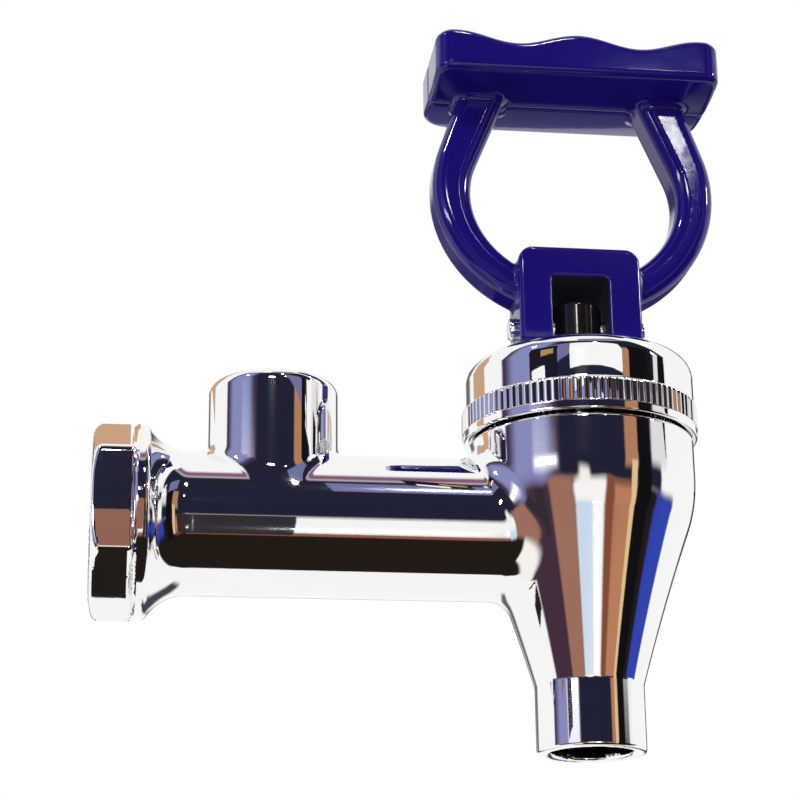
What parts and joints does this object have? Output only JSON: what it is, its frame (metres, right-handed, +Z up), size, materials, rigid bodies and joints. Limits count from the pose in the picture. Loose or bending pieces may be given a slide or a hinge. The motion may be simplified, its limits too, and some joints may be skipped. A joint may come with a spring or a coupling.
{
  "type": "samovar tap",
  "caption": "Self-closing samovar or urn tap: chromed body with side inlet, gauge glass boss and down spout, and a looped push-bar handle that tilts to lift its silicone cup.",
  "frame": {"origin": "on the pipe's axis at the start of the inlet's full thread, 1 mm inside the hexagon's face", "axes": "+X along the pipe from the inlet to the spout, +Z up the stem towards the handle, -Y the side the picture shows"},
  "size_m": [0.0987, 0.037, 0.1149],
  "materials": {
    "chromed_body": "polished chrome on cast brass",
    "chromed_bonnet": "polished chrome on turned brass",
    "nylon": "natural nylon",
    "brass": "turned",
    "silicone": "translucent silicone",
    "black_plastic": "glossy moulded",
    "steel": "stainless",
    "blue_plastic": "glossy moulded",
    "chromed_pin": "plated pin"
  },
  "bodies": {
    "root": {"valve_body": "chromed_body", "bonnet": "chromed_bonnet", "guide_bush": "nylon", "clamp_ring": "brass"},
    "lifter": {"spring_washer": "steel", "spring": "steel", "seat_cup": "silicone"},
    "spindle": {"stem": "black_plastic"},
    "lever": {"handle": "blue_plastic", "handle_pin": "chromed_pin"}
  },
  "joints": [
    {"name": "stem_lift", "type": "slide", "parent": "root", "child": "lifter", "axis": [0, 0, 1], "range_m": [0, 0.00143], "deforming": ["spring", "seat_cup"]},
    {"name": "handle_swivel", "type": "hinge", "parent": "lifter", "child": "spindle", "pos_m": [0.0745, 0, 0.0332], "axis": [0, 0, 1], "continuous": true},
    {"name": "handle_tilt", "type": "hinge", "parent": "spindle", "child": "lever", "pos_m": [0.0745, 0, 0.0332], "axis": [1, 0, 0], "range_deg": [0, 34], "stiffness_Nm_per_rad": 0.00864, "springref_deg": -119.35}
  ],
  "couplings": [
    {"joint": "stem_lift", "follows": "handle_tilt", "m_per_rad": 0.0024}
  ]
}
